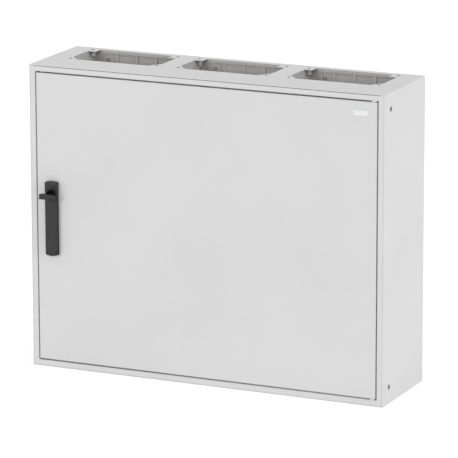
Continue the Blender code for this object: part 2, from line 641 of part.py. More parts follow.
def lever():
    """The swing lever: a slim arm whose upper end curls outwards into a finger lip.

    The back of the lower end slopes away so that the lever can tilt on its pin, and a slot there
    holds the tongue of the spindle.
    """
    half = HANDLE_WIDTH / 2
    face = HANDLE_THICKNESS
    root = LEVER_END - LIP_ROOT
    side = [(out(LEVER_BACK), TURN_Z - SEAT), (out(face - NOSE_THICKNESS), HANDLE_LOW),
            (out(face - NOSE_THICKNESS / 2), HANDLE_LOW), (out(face), HANDLE_LOW + NOSE_THICKNESS),
            (out(face), root)]
    tip_low = LEVER_END + LIP_RISE - LIP_TIP
    reach = LIP_REACH - face
    for i in range(1, LIP_STEPS + 1):
        turn = math.pi / 2 * i / LIP_STEPS
        side.append((out(face + reach * (1 - math.cos(turn))), root + (tip_low - root) * math.sin(turn)))
    for i in range(LIP_STEPS + 1):
        t = 1 - i / LIP_STEPS
        side.append((out(face + reach * t), LEVER_END + LIP_RISE * t ** LIP_CURVE))
    side.append((out(LEVER_BACK), LEVER_END))
    made = prism("lever", side, "x", HANDLE_X - half, HANDLE_X + half, PLASTIC)
    front = handle_outline(half, HANDLE_LOW, LEVER_END + LIP_RISE, HANDLE_CROWN, 0)
    taper = [(x, z) for x, z in front if z < HEIGHT / 2]
    lip = LIP_WIDTH / 2
    top = LEVER_END + LIP_RISE + SEAT
    taper += [(HANDLE_X + half, root), (HANDLE_X + lip, LEVER_END + SEAT),
              (HANDLE_X + lip, top - LIP_CORNER_Z),
              (HANDLE_X + lip - LIP_CORNER_X, top), (HANDLE_X - lip + LIP_CORNER_X, top),
              (HANDLE_X - lip, top - LIP_CORNER_Z),
              (HANDLE_X - lip, LEVER_END + SEAT), (HANDLE_X - half, root)]
    boolean(made, prism("front", taper, "y", out(2 * LIP_REACH), depth(face)), "INTERSECT")
    slot = TONGUE_WIDTH / 2 + RUNNING_GAP
    cut(made, box("slot", (HANDLE_X - slot, HANDLE_X + slot), (out(face - SLOT_SKIN), depth(face)),
                  (HANDLE_LOW - face, TURN_Z + SLOT_ABOVE_PIN)))
    bore = circle(out(LIFT_OUT), TURN_Z, LEVER_PIN_RADIUS + SEAT, 16)
    cut(made, prism("bore", bore, "x", HANDLE_X - half - SHEET, HANDLE_X + half + SHEET))
    return made


def lever_pin():
    """The pin that the lever tilts on."""
    half = HANDLE_WIDTH / 2 - SHEET
    pin = prism("lever_pin", circle(out(LIFT_OUT), TURN_Z, LEVER_PIN_RADIUS, 16), "x",
                HANDLE_X - half, HANDLE_X + half, STEEL)
    return smooth(pin)


def spindle():
    """The spindle: a tongue for the lever, a round shaft through the door and a journal for the pinion."""
    shaft_back = ROD_FRONT - RUNNING_GAP
    body = prism("spindle", circle(HANDLE_X, TURN_Z, SPINDLE_RADIUS), "y", out(BASE_FRONT),
                 depth(shaft_back), STEEL)
    journal_back = ROD_FRONT + ROD_THICKNESS + 2 * RUNNING_GAP + LOCK_WALL
    journal = prism("journal", circle(HANDLE_X, TURN_Z, JOURNAL_RADIUS, 16), "y", depth(shaft_back - SHEET),
                    depth(journal_back))
    join(body, journal)
    half = TONGUE_WIDTH / 2
    radius = TONGUE_RADIUS
    eye = [(out(BASE_FRONT - SHEET), TURN_Z + radius), (out(BASE_FRONT - SHEET), TURN_Z - radius)]
    for i in range(11):
        turn = -math.pi / 2 + math.pi * i / 10
        eye.append((out(LIFT_OUT + radius * math.cos(turn)), TURN_Z + radius * math.sin(turn)))
    join(body, prism("tongue", eye, "x", HANDLE_X - half, HANDLE_X + half))
    bore = circle(out(LIFT_OUT), TURN_Z, LEVER_PIN_RADIUS + SEAT, 16)
    cut(body, prism("bore", bore, "x", HANDLE_X - 2 * half, HANDLE_X + 2 * half))
    return smooth(body)


def pinion():
    """The small gear on the spindle's journal that drives both rods."""
    root = GEAR_RADIUS - GEAR_MODULE * GEAR_ROOT
    tip = GEAR_RADIUS + GEAR_MODULE * GEAR_TIP
    pitch = 2 * math.pi / GEAR_TEETH
    at_root, at_tip = GEAR_FLANKS
    outline = []
    for i in range(GEAR_TEETH):
        middle = (i + 0.5) * pitch
        for radius, share in ((root, -at_root), (tip, -at_tip), (tip, at_tip), (root, at_root)):
            turn = middle + share * pitch
            outline.append((HANDLE_X + radius * math.cos(turn), TURN_Z + radius * math.sin(turn)))
    gear = prism("lock_pinion", outline, "y", depth(ROD_FRONT), depth(ROD_FRONT + ROD_THICKNESS), STEEL)
    bore = circle(HANDLE_X, TURN_Z, JOURNAL_RADIUS + SEAT, 16)
    return cut(gear, prism("bore", bore, "y", depth(0), depth(DEPTH)))


def rod(end):
    """A flat locking rod: a rack beside the pinion, and a bar that reaches towards the frame."""
    sign = 1 if end == "upper" else -1
    inner = HANDLE_X + sign * ROD_OFFSET
    outer = inner + sign * ROD_WIDTH
    tip = HEIGHT - FRAME_GUTTER - ROD_SHORT if end == "upper" else FRAME_GUTTER + ROD_SHORT
    tail = TURN_Z - sign * RACK_LENGTH
    bar = box("locking_rod_" + end, (min(inner, outer), max(inner, outer)),
              (depth(ROD_FRONT), depth(ROD_FRONT + ROD_THICKNESS)), (min(tip, tail), max(tip, tail)), ZINC)
    pitch = math.pi * GEAR_MODULE
    tooth_tip = HANDLE_X + sign * (GEAR_RADIUS - GEAR_MODULE * RACK_TIP)
    at_root, at_tip = [share * pitch for share in RACK_FLANKS]
    for i in range(RACK_TEETH):
        z = TURN_Z + (i - (RACK_TEETH - 1) / 2) * pitch
        middle = outer - sign * ROD_WIDTH / 2
        tooth = [(middle, z - at_root), (inner, z - at_root), (tooth_tip, z - at_tip),
                 (tooth_tip, z + at_tip), (inner, z + at_root), (middle, z + at_root)]
        join(bar, prism("tooth", tooth, "y", depth(ROD_FRONT), depth(ROD_FRONT + ROD_THICKNESS)))
    return bar


def lock_case():
    """A channel over the pinion, open at both ends for the rods, with a bearing hole in its back."""
    wall = LOCK_HALF_WIDTH
    half = wall - LOCK_WALL
    front = depth(SHEET + SEAT)
    inside = depth(ROD_FRONT + ROD_THICKNESS + RUNNING_GAP)
    back = inside + LOCK_WALL
    x = HANDLE_X
    outline = [(x - wall, front), (x - half, front), (x - half, inside), (x + half, inside),
               (x + half, front), (x + wall, front), (x + wall, back), (x - wall, back)]
    case = prism("lock_case", outline, "z", TURN_Z - LOCK_HALF_LENGTH, TURN_Z + LOCK_HALF_LENGTH, ZINC)
    bearing = circle(HANDLE_X, TURN_Z, JOURNAL_RADIUS + SEAT, 16)
    return cut(case, prism("bearing", bearing, "y", inside - SHEET, back + SHEET))


def rod_guide(end):
    """A bridge on the door that one rod slides through."""
    sign = 1 if end == "upper" else -1
    middle = HANDLE_X + sign * (ROD_OFFSET + ROD_WIDTH / 2)
    z = HEIGHT - GUIDE_FROM_END if end == "upper" else GUIDE_FROM_END
    half = ROD_WIDTH / 2 + RUNNING_GAP
    guide = box("rod_guide_" + end, (middle - half - LOCK_WALL, middle + half + LOCK_WALL),
                (depth(SHEET + SEAT), depth(ROD_FRONT + ROD_THICKNESS + RUNNING_GAP + LOCK_WALL)),
                (z - GUIDE_LENGTH / 2, z + GUIDE_LENGTH / 2), PLASTIC)
    return cut(guide, box("way", (middle - half, middle + half),
                          (depth(ROD_FRONT - RUNNING_GAP), depth(ROD_FRONT + ROD_THICKNESS + RUNNING_GAP)),
                          (z - GUIDE_LENGTH, z + GUIDE_LENGTH)))


# ---- assembly ----------------------------------------------------------------------------------------
def build():
    """Make every piece and hang the moving ones on their joint axes."""
    for side in ("left", "right"):
        side_panel(side)
        mounting_post(side)
        for end in ("lower", "upper"):
            side_screw(side, end)
    end_panel("top_panel", HEIGHT - SHEET)
    end_panel("base_panel", 0)
    rear_panel()
    front_frame()
    for index in range(ENTRY_COUNT):
        flange_collar(index)
        flange_plate(index)
        flange_screws(index)
    for row in range(RAIL_ROWS):
        din_rail(row)
    earth_bar()
    door_buffer()
    door_pieces = [door_panel(), door_gasket(), door_stiffener(), label_plate(), handle_base(), lock_case()]
    for end in ("lower", "upper"):
        bracket, pin, block = hinge_parts(end)
        door_pieces += [block, rod_guide(end)]
    lever_axis = carried_by([lever(), lever_pin()], "lever_axis", (HANDLE_X, out(LIFT_OUT), TURN_Z))
    spindle_axis = carried_by([spindle(), pinion(), lever_axis], "spindle_axis", (HANDLE_X, FRONT, TURN_Z))
    rods = [rod("lower"), rod("upper")]
    carried_by(door_pieces + rods + [spindle_axis], "door_axis", (HINGE_X, depth(HINGE_DEPTH), 0))


build()
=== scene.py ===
"""Finishes of a wall-mounted switchboard cabinet: powder-coated sheet steel, a moulded lever lock and ribbed
entry collars.  Metres, +Z up, the door faces -Y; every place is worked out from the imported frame."""
import json
import math

import bmesh
import bpy
import numpy as np
from mathutils import Matrix, Vector


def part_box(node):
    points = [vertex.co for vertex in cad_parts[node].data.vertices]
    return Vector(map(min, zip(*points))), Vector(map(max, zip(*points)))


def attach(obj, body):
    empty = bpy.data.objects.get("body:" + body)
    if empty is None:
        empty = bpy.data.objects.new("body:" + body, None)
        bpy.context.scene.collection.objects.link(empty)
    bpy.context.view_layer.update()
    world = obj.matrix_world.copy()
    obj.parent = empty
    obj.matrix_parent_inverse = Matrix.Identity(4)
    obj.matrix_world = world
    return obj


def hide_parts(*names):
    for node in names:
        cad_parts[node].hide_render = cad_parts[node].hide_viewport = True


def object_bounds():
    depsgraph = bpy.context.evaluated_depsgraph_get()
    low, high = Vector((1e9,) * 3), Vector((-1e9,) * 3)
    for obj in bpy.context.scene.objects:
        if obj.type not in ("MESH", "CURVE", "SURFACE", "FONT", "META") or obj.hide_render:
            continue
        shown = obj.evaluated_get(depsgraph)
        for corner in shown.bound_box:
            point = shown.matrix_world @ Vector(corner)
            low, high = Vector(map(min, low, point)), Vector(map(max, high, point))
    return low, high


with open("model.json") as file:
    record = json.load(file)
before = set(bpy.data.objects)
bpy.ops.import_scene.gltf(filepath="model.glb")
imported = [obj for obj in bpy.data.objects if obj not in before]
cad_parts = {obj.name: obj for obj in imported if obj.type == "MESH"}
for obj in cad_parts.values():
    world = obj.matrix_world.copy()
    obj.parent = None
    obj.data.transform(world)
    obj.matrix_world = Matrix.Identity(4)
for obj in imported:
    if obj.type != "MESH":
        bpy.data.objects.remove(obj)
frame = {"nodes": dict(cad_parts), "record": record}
cad_low, cad_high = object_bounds()

MM = 0.001
SLOT_OF = {row["node"]: row["material_slot"] for row in frame["record"]["subparts"]}


# ---- places from the frame ---------------------------------------------------------------------------
def span(node):
    """The lowest and highest corner of a CAD node as two numpy arrays."""
    low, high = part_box(node)
    return np.array(low), np.array(high)


BASE_LOW, BASE_HIGH = span("handle_base")
LEVER_LOW, LEVER_HIGH = span("lever")
FRONT = span("door_panel")[0][1]
BODY_LEFT = -span("side_panel_right")[1][0]

# ---- sheet metal and fixings: sizes ------------------------------------------------------------------
DOOR_EDGE = 0.25 * MM       # radii of the folded and cut edges
FRAME_EDGE = 0.2 * MM
SHELL_EDGE = 0.25 * MM
SAME_POINT = 1e-6           # points nearer than this are one
FLAT_ANGLE = 1              # degrees; faces that meet at less lie in one plane
FOLD_ANGLE = 40             # degrees; edges that turn by more are rounded
SCREW_EDGE = 0.25 * MM
SOCKET_RADIUS = 2.1 * MM    # to the corners of a screw's hexagon socket
SOCKET_EDGE = 0.1 * MM
SOCKET_DEPTH = 0.9 * MM
PLUG_FLANGE = 1.4           # a plug's flange is this many times as wide as its head
PLUG_PROUD = 1.65 * MM      # how far the head stands past the flange
PLUG_EDGE = 0.3 * MM
PLUG_RIM = 1.0 * MM         # from the head's outside to the inner edge of its rim
PLUG_SLOPE = 0.4 * MM       # the dish first falls by this much, over the same distance
PLUG_DISH = 0.5 * MM        # depth of its middle
PLUG_MIDDLE = 0.8 * MM      # radius of the flat there
PIN_EDGE = 0.35             # share of a pin's radius that its end rounding takes
LABEL_CORNER = 1.2 * MM
LABEL_EDGE = 0.12 * MM
FOAM_HALF = 5.0 * MM        # half the width of the gasket's section
FOAM_CORNER = 12 * MM

# ---- lock handle: sizes --------------------------------------------------------------------------------
HANDLE_X = (BASE_LOW[0] + BASE_HIGH[0]) / 2
HANDLE_HALF = (BASE_HIGH[0] - BASE_LOW[0]) / 2
HANDLE_LOW = BASE_LOW[2]
HANDLE_HIGH = BASE_HIGH[2]
CROWN = 2.4 * MM            # how far the lower end stands past its corners
HEAD_CROWN = 1.2 * MM       # the same for the head's upper end
HEAD_FACE = BASE_LOW[1]     # the lever's arm lies in the same plane
HEAD_EDGE = 0.7 * MM
PLATE_FACE = FRONT - 3.3 * MM   # face of the base plate under the lever
PLATE_BACK = FRONT - 0.3 * MM
PLATE_EDGE = 0.5 * MM
PLATE_BACK_EDGE = 0.1 * MM
HEAD_BACK = PLATE_FACE + 0.2 * MM   # the head reaches a little way into the plate
POCKET_X = HANDLE_X + 1.8 * MM
POCKET_HALF = 10.5 * MM
POCKET_RISE = 9.4 * MM
LEVER_TIP = LEVER_LOW[1]
LEVER_BACK = FRONT - 3.9 * MM
LEVER_EDGE = 1.6 * MM       # rounding of the lever's long edges, measured across
LEVER_EDGE_IN = 0.9 * MM    # the most that this rounding draws the outline in
NOSE = 2.3 * MM             # what is cut off the lever's lower front corner
NOSE_SAG = 0.1 * MM
FOOT_RISE = 14 * MM         # the lower end's back slants out to its full thickness over this height
CROWN_RUN = 24 * MM         # the lower end's crown runs out over this height
LIP_TOP = LEVER_HIGH[2]
LIP_RISE = 10.1 * MM        # from the arm's upper end to the lip's top
LIP_TIP = 13.7 * MM         # thickness of the lip's front, measured down from its top
LIP_ROOT = 16 * MM          # where the lip leaves the arm, below the arm's upper end
LIP_HALF = 11 * MM
LIP_NARROWING = 8 * MM      # the width changes over this distance out from the arm
LIP_BEND = 1.1              # power of the lip's upper face
LIP_CORNER = 3.5 * MM       # how far the lip's upper corners fall
LIP_LEVEL = 0.36            # share of the half width that stays level between them
LIP_CORNER_BEND = 1.5       # power of that fall
ARM_END = LIP_TOP - LIP_RISE
HEAD_LOW = ARM_END + 0.5 * MM

# ---- studio --------------------------------------------------------------------------------------------
FLOOR_HALF = 40.0
FLOOR_DROP = 0.2 * MM       # how far the floor lies below the cabinet
FLOOR_GLOW = 0.35
SKY_LIGHT = 0.67
SUNS = (    # name, degrees right of the door's outward normal, degrees above level, spread, strength
    ("key_light", -20, 12, 11, 0.68),
    ("side_light", 78, 14, 30, 0.95),
    ("top_light", 0, 85, 40, 0.48),
)
CAMERA_FROM_CORNER = (3.53821, -6.74022, 2.14517)   # from the body's lower left front corner
CAMERA_HEADING = -24.5656
CAMERA_PITCH = -13.6798
CAMERA_ROLL = -0.148
CAMERA_LENS = 291.73
CAMERA_SENSOR = 36.0
CAMERA_REACH = 100.0


# ---- materials ---------------------------------------------------------------------------------------
def srgb(hex_code):
    """A six-digit sRGB hex colour as linear red, green, blue and alpha."""
    channels = [int(hex_code[i:i + 2], 16) / 255 for i in (0, 2, 4)]
    linear = [c / 12.92 if c <= 0.04045 else ((c + 0.055) / 1.055) ** 2.4 for c in channels]
    return (*linear, 1.0)


def add_node(tree, kind, links=(), **settings):
    """Add a node: settings named in_X set input X, the others are attributes, and links are pairs of an input
    and the socket that feeds it."""
    made = tree.nodes.new(kind)
    for key, value in settings.items():
        if key.startswith("in_"):
            name = key[3:].replace("_", " ")
            socket = made.inputs[int(name)] if name.isdigit() else made.inputs[name]
            socket.default_value = value
        else:
            setattr(made, key, value)
    for name, source in links:
        tree.links.new(source, made.inputs[name])
    return made


def new_material(name, roughness, metallic=0.0, ior=1.5):
    """A material with its shader and its Object coordinates, ready for the nodes that colour it."""
    made = bpy.data.materials.new(name)
    made.use_nodes = True
    tree = made.node_tree
    shader = tree.nodes["Principled BSDF"]
    shader.inputs["Roughness"].default_value = roughness
    shader.inputs["Metallic"].default_value = metallic
    if not metallic:
        shader.inputs["IOR"].default_value = ior
    place = add_node(tree, "ShaderNodeTexCoord").outputs["Object"]
    return made, tree, shader, place


def two_tones(tree, place, dark, light, scale):
    """A colour that drifts between two close tones in clouds; scale is clouds per metre."""
    cloud = add_node(tree, "ShaderNodeTexNoise", [("Vector", place)], in_Scale=scale, in_Detail=3.0)
    ramp = add_node(tree, "ShaderNodeValToRGB", [("Fac", cloud.outputs["Fac"])])
    first, last = ramp.color_ramp.elements
    first.position, last.position = 0.35, 0.65
    first.color, last.color = srgb(dark), srgb(light)
    return ramp.outputs["Color"]


def rough_drift(tree, place, low, high, scale):
    """A roughness that drifts between two values; scale is clouds per metre."""
    cloud = add_node(tree, "ShaderNodeTexNoise", [("Vector", place)], in_Scale=scale, in_Detail=4.0)
    spread = add_node(tree, "ShaderNodeMapRange", [("Value", cloud.outputs["Fac"])],
                      in_To_Min=low, in_To_Max=high)
    return spread.outputs["Result"]


def grain_bump(tree, place, size, height, strength):
    """Bump from fine noise whose grains are size metres across and height metres deep."""
    grain = add_node(tree, "ShaderNodeTexNoise", [("Vector", place)], in_Scale=1 / size, in_Detail=2.0)
    bump = add_node(tree, "ShaderNodeBump", [("Height", grain.outputs["Fac"])], in_Strength=strength,
                    in_Distance=height)
    return bump.outputs["Normal"]


def powder_coat(name):
    """Light grey epoxy-polyester powder coat, baked: an even satin surface with a faint orange peel."""
    made, tree, shader, place = new_material(name, 0.42)
    tree.links.new(two_tones(tree, place, "D6D6D6", "D9D9D9", scale=5.0), shader.inputs["Base Color"])
    tree.links.new(rough_drift(tree, place, 0.40, 0.46, scale=60.0), shader.inputs["Roughness"])
    # orange peel is about 1.2 mm across on sheet steel; drawn 2 mm across so that it shows
    bump = grain_bump(tree, place, size=2 * MM, height=0.02 * MM, strength=0.25)
    tree.links.new(bump, shader.inputs["Normal"])
    return made


def moulded_plastic(name, dark, light, roughness):
    """Polypropylene moulded in a spark-eroded tool: satin, with a fine even grain."""
    made, tree, shader, place = new_material(name, roughness, ior=1.49)
    tree.links.new(two_tones(tree, place, dark, light, scale=90.0), shader.inputs["Base Color"])
    drift = rough_drift(tree, place, roughness - 0.04, roughness + 0.05, scale=250.0)
    tree.links.new(drift, shader.inputs["Roughness"])
    # a tool grain is about 0.3 mm; drawn 0.5 mm across
    bump = grain_bump(tree, place, size=0.5 * MM, height=0.02 * MM, strength=0.3)
    tree.links.new(bump, shader.inputs["Normal"])
    return made


def zinc_plate(name):
    """Strip-galvanised steel: cool grey, with faint spangle patches about 8 mm across."""
    made, tree, shader, place = new_material(name, 0.38, metallic=1.0)
    spangle = add_node(tree, "ShaderNodeTexVoronoi", [("Vector", place)], in_Scale=1 / (8 * MM))
    ramp = add_node(tree, "ShaderNodeValToRGB", [("Fac", spangle.outputs["Color"])])
    first, last = ramp.color_ramp.elements
    first.color, last.color = srgb("A9ACAE"), srgb("BFC2C4")
    tree.links.new(ramp.outputs["Color"], shader.inputs["Base Color"])
    tree.links.new(rough_drift(tree, place, 0.32, 0.45, scale=120.0), shader.inputs["Roughness"])
    return made


def turned_metal(name, dark, light, roughness):
    """A turned or drawn metal: its sheen is broken up by tool marks about 0.4 mm across."""
    made, tree, shader, place = new_material(name, roughness, metallic=1.0)
    tree.links.new(two_tones(tree, place, dark, light, scale=300.0), shader.inputs["Base Color"])
    drift = rough_drift(tree, place, roughness - 0.06, roughness + 0.08, scale=500.0)
    tree.links.new(drift, shader.inputs["Roughness"])
    bump = grain_bump(tree, place, size=0.4 * MM, height=0.01 * MM, strength=0.3)
    tree.links.new(bump, shader.inputs["Normal"])
    return made


def foam_rubber(name):
    """Foamed-in-place polyurethane: black, soft and dull, with open pores about 0.6 mm across."""
    made, tree, shader, place = new_material(name, 0.85, ior=1.45)
    tree.links.new(two_tones(tree, place, "1A1A1A", "242424", scale=400.0), shader.inputs["Base Color"])
    bump = grain_bump(tree, place, size=0.6 * MM, height=0.1 * MM, strength=0.6)
    tree.links.new(bump, shader.inputs["Normal"])
    return made


def label_film(name):
    """White polyester film: smooth and slightly glossy, and left blank."""
    made, tree, shader, place = new_material(name, 0.3, ior=1.6)
    tree.links.new(two_tones(tree, place, "E6EAEA", "EAEDED", scale=60.0), shader.inputs["Base Color"])
    return made


FINISHES = {
    "light_grey_powder_coat": powder_coat("light_grey_powder_coat"),
    "black_plastic": moulded_plastic("black_moulded_polypropylene", "19191A", "1D1D1E", 0.42),
    "grey_plastic": moulded_plastic("grey_moulded_polypropylene", "BDBCB8", "C4C2BD", 0.55),
    "galvanised_steel": zinc_plate("galvanised_steel"),
    "bright_steel": turned_metal("bright_turned_steel", "B5B5B3", "C6C6C4", 0.28),
    "dark_grey_plastic": moulded_plastic("dark_grey_moulded_polypropylene", "595B5C", "606263", 0.5),
    "blackened_steel": turned_metal("black_oxide_steel", "2A2A2B", "343435", 0.45),
    "brass": turned_metal("drawn_brass", "B8923F", "C9A452", 0.32),
    "black_foam_rubber": foam_rubber("black_foam_rubber"),
    "white_label": label_film("white_label"),
}


def finish_cad_nodes():
    """Give every CAD node the finish of its material slot."""
    for name, made in frame["nodes"].items():
        made.data.materials.clear()
        made.data.materials.append(FINISHES[SLOT_OF[name]])


# ---- surface helpers -----------------------------------------------------------------------------------
def skin(rows, ring=False):
    """A closed skin over rows of points: row i joins row i + 1 point by point.  Both end rows are capped
    flat, or in a ring the last row joins the first.

    rows is an array of rows by points by 3.  The faces point outwards, because the signed volume (the sum
    over the quads of p1 dot (p2 cross p3)) is made positive.
    """
    rows = np.asarray(rows, dtype=float)
    count, width = rows.shape[:2]
    index = np.arange(count * width).reshape(count, width)
    if ring:
        index = np.concatenate([index, index[:1]])
    after = np.roll(index, -1, axis=1)
    quads = np.stack([index[:-1], after[:-1], after[1:], index[1:]], axis=-1).reshape(-1, 4)
    points = rows.reshape(-1, 3)
    centre = points.mean(axis=0)
    a, b, c, d = (points[quads[:, k]] - centre for k in range(4))
    volume = (np.einsum("ij,ij->i", a, np.cross(b, c)) + np.einsum("ij,ij->i", a, np.cross(c, d))).sum()
    caps = np.stack([index[0][::-1], index[-1]])
    if volume < 0:
        quads, caps = quads[:, ::-1], caps[:, ::-1]
    return points, [quads] if ring else [quads, caps]


def put(name, parts, body, slot_name, stands_for, sharp=32):
    """One object from a list of skins, shaded smooth up to an angle, with its finish, hung on its body."""
    faces, start = [], 0
    for points, groups in parts:
        for group in groups:
            faces += (group + start).tolist()
        start += len(points)
    mesh = bpy.data.meshes.new(name)
    mesh.from_pydata(np.concatenate([points for points, groups in parts]).tolist(), [], faces)
    mesh.materials.append(FINISHES[slot_name])
    mesh.shade_smooth()
    mesh.set_sharp_from_angle(angle=math.radians(sharp))
    made = bpy.data.objects.new(name, mesh)
    bpy.context.scene.collection.objects.link(made)
    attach(made, body)
    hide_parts(*stands_for)


def rounded(corners, radius, steps=5):
    """A polygon whose corners are drawn as parabolas: with legs A and B at radius from corner C, the points
    are (1 - t) squared times A, plus 2 t (1 - t) times C, plus t squared times B."""
    corners = np.asarray(corners, dtype=float)
    back = np.roll(corners, 1, axis=0) - corners
    ahead = np.roll(corners, -1, axis=0) - corners
    start = corners + back / np.linalg.norm(back, axis=1, keepdims=True) * radius
    end = corners + ahead / np.linalg.norm(ahead, axis=1, keepdims=True) * radius
    t = np.linspace(0, 1, steps + 1)[None, :, None]
    curve = (1 - t) ** 2 * start[:, None] + 2 * t * (1 - t) * corners[:, None] + t ** 2 * end[:, None]
    return curve.reshape(-1, 2)


def inward(outline):
    """The inward mitre of each point of a closed outline: the sum of its two edge normals over one plus their
    dot product, so that a step along it moves both edges in by the same amount."""
    edge = np.roll(outline, -1, axis=0) - outline
    edge = edge / np.maximum(np.linalg.norm(edge, axis=1, keepdims=True), 1e-12)
    area = np.sum(outline[:, 0] * np.roll(outline[:, 1], -1) - np.roll(outline[:, 0], -1) * outline[:, 1])
    normal = np.stack([-edge[:, 1], edge[:, 0]], axis=1) * np.sign(area)
    before = np.roll(normal, 1, axis=0)
    return (normal + before) / np.maximum(1 + np.sum(normal * before, axis=1, keepdims=True), 0.3)


def axes(axis):
    """The index of an axis, and the indices of the two axes across it."""
    k = "xyz".index(axis)
    a, b = [other for other in range(3) if other != k]
    return k, a, b


def eased_prism(outline, axis, low, high, ease_low, ease_high, steps=4):
    """An outline carried along an axis, with quarter-round edges: at angle a the outline is drawn in by
    r (1 - sin a) and stands r (1 - cos a) in from the end.  An end whose r is nought is left square."""
    outline = np.asarray(outline, dtype=float)
    first = np.linspace(0, np.pi / 2, steps + 1) if ease_low else np.array([np.pi / 2])
    last = np.linspace(np.pi / 2, 0, steps + 1) if ease_high else np.array([np.pi / 2])
    draw = np.concatenate([ease_low * (1 - np.sin(first)), ease_high * (1 - np.sin(last))])
    along = np.concatenate([low + ease_low * (1 - np.cos(first)), high - ease_high * (1 - np.cos(last))])
    flat = outline[None] + inward(outline)[None] * draw[:, None, None]
    rows = np.empty((len(along), len(outline), 3))
    k, a, b = axes(axis)
    rows[:, :, k] = along[:, None]
    rows[:, :, a] = flat[:, :, 0]
    rows[:, :, b] = flat[:, :, 1]
    return rows


def turned(centre, axis, profile, steps=40, sides=0):
    """A profile of (radius, along) turned round an axis through centre.

    Where sides is set, a row with a negative radius becomes a polygon of that many sides: at angle a its
    radius is multiplied by the cosine of half a sector, over the cosine of a's distance from its sector's
    middle.
    """
    profile = np.asarray(profile, dtype=float)
    turn = np.linspace(0, 2 * np.pi, steps, endpoint=False)
    radius = np.abs(profile[:, :1]) * np.ones((1, steps))
    if sides:
        sector = 2 * np.pi / sides
        flats = np.cos(sector / 2) / np.cos(np.mod(turn, sector) - sector / 2)
        radius = np.where(profile[:, :1] < 0, radius * flats[None], radius)
    rows = np.empty((len(profile), steps, 3))
    k, a, b = axes(axis)
    rows[:, :, k] = centre[k] + profile[:, 1:]
    rows[:, :, a] = centre[a] + radius * np.cos(turn)
    rows[:, :, b] = centre[b] + radius * np.sin(turn)
    return rows


# ---- sheet metal -----------------------------------------------------------------------------------------
def softened_sheet(node, body, width):
    """A merged copy of a CAD sheet whose cut and folded edges are rounded by a bevel."""
    source = frame["nodes"][node]
    mesh = source.data.copy()
    work = bmesh.new()
    work.from_mesh(mesh)
    bmesh.ops.transform(work, matrix=source.matrix_world, verts=work.verts)
    bmesh.ops.remove_doubles(work, verts=work.verts, dist=SAME_POINT)
    bmesh.ops.dissolve_limit(work, angle_limit=math.radians(FLAT_ANGLE), verts=work.verts, edges=work.edges)
    work.to_mesh(mesh)
    work.free()
    made = bpy.data.objects.new(node + "_sheet", mesh)
    bpy.context.scene.collection.objects.link(made)
    fold = made.modifiers.new("fold_radius", "BEVEL")
    fold.width = width
    fold.segments = 2
    fold.limit_method = "ANGLE"
    fold.angle_limit = math.radians(FOLD_ANGLE)
    fold.harden_normals = True
    mesh.shade_smooth()
    mesh.set_sharp_from_angle(angle=math.radians(FOLD_ANGLE))
    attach(made, body)
    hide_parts(node)


# ---- lock handle -----------------------------------------------------------------------------------------
def crowned(level, crown, t):
    """One end of the handle's front outline: the parabola z = level + crown t squared, for t from -1 to 1."""
    return np.stack([HANDLE_X + HANDLE_HALF * t, level + crown * t ** 2], axis=1)


def handle_base():
    """The base plate, and the head above the lever with its arched finger pocket.

    The pocket's front edge is the half ellipse z = low + rise sin a, x = half cos a, and the pocket is a
    scoop: its height falls in a straight line from the full rise at the face to nought at the base plate.
    """
    lower_end = crowned(HANDLE_LOW, CROWN, np.linspace(-1, 1, 14))
    upper_end = crowned(HANDLE_HIGH, -HEAD_CROWN, np.linspace(1, -1, 14))
    plate = eased_prism(np.concatenate([lower_end, upper_end]), "y", PLATE_FACE, PLATE_BACK,
                        PLATE_EDGE, PLATE_BACK_EDGE)
    turn = np.linspace(0, np.pi, 22)
    arch = np.stack([POCKET_X - POCKET_HALF * np.cos(turn), HEAD_LOW + POCKET_RISE * np.sin(turn)], axis=1)
    left_foot, right_foot = [[HANDLE_X - HANDLE_HALF, HEAD_LOW]], [[HANDLE_X + HANDLE_HALF, HEAD_LOW]]
    upper_edge = crowned(HANDLE_HIGH, -HEAD_CROWN, np.linspace(1, -1, 18))
    front = np.concatenate([left_foot, arch, right_foot, upper_edge])
    head = eased_prism(front, "y", HEAD_FACE, HEAD_BACK, HEAD_EDGE, 0.0)
    scoop = slice(1, 1 + len(arch))
    inside = (head[:, scoop, 1] - HEAD_FACE) / (HEAD_BACK - HEAD_FACE)
    head[:, scoop, 2] = HEAD_LOW + (head[:, scoop, 2] - HEAD_LOW) * (1 - inside)
    put("handle_base_moulding", [skin(plate), skin(head)], "door", "black_plastic", ["handle_base"])


def lever_side():
    """The lever seen from its side, as (y, z) points.

    Under the lip it is the ellipse quarter y = face + reach (1 - cos a), z = root + rise sin a, and above the
    lip the power curve z = end + rise t to the 1.1; both are measured outwards from the door.
    """
    face, tip, back = FRONT - HEAD_FACE, FRONT - LEVER_TIP, FRONT - LEVER_BACK
    root = ARM_END - LIP_ROOT
    turn = np.linspace(0, np.pi / 2, 16)
    under = np.stack([face + (tip - face) * (1 - np.cos(turn)),
                      root + (LIP_TOP - LIP_TIP - root) * np.sin(turn)], axis=1)
    t = np.linspace(1, 0, 14)
    over = np.stack([face + (tip - face) * t, ARM_END + LIP_RISE * t ** LIP_BEND], axis=1)
    arm = np.linspace(HANDLE_LOW + NOSE, root, 14)[:-1]
    shank = np.stack([np.full_like(arm, face), arm], axis=1)
    nose = [[back, HANDLE_LOW + FOOT_RISE], [face - NOSE, HANDLE_LOW],
            [face - NOSE / 2, HANDLE_LOW + NOSE_SAG]]
    side = np.concatenate([nose, shank, under, over, [[back, ARM_END]]])
    return np.stack([FRONT - side[:, 0], side[:, 1]], axis=1)


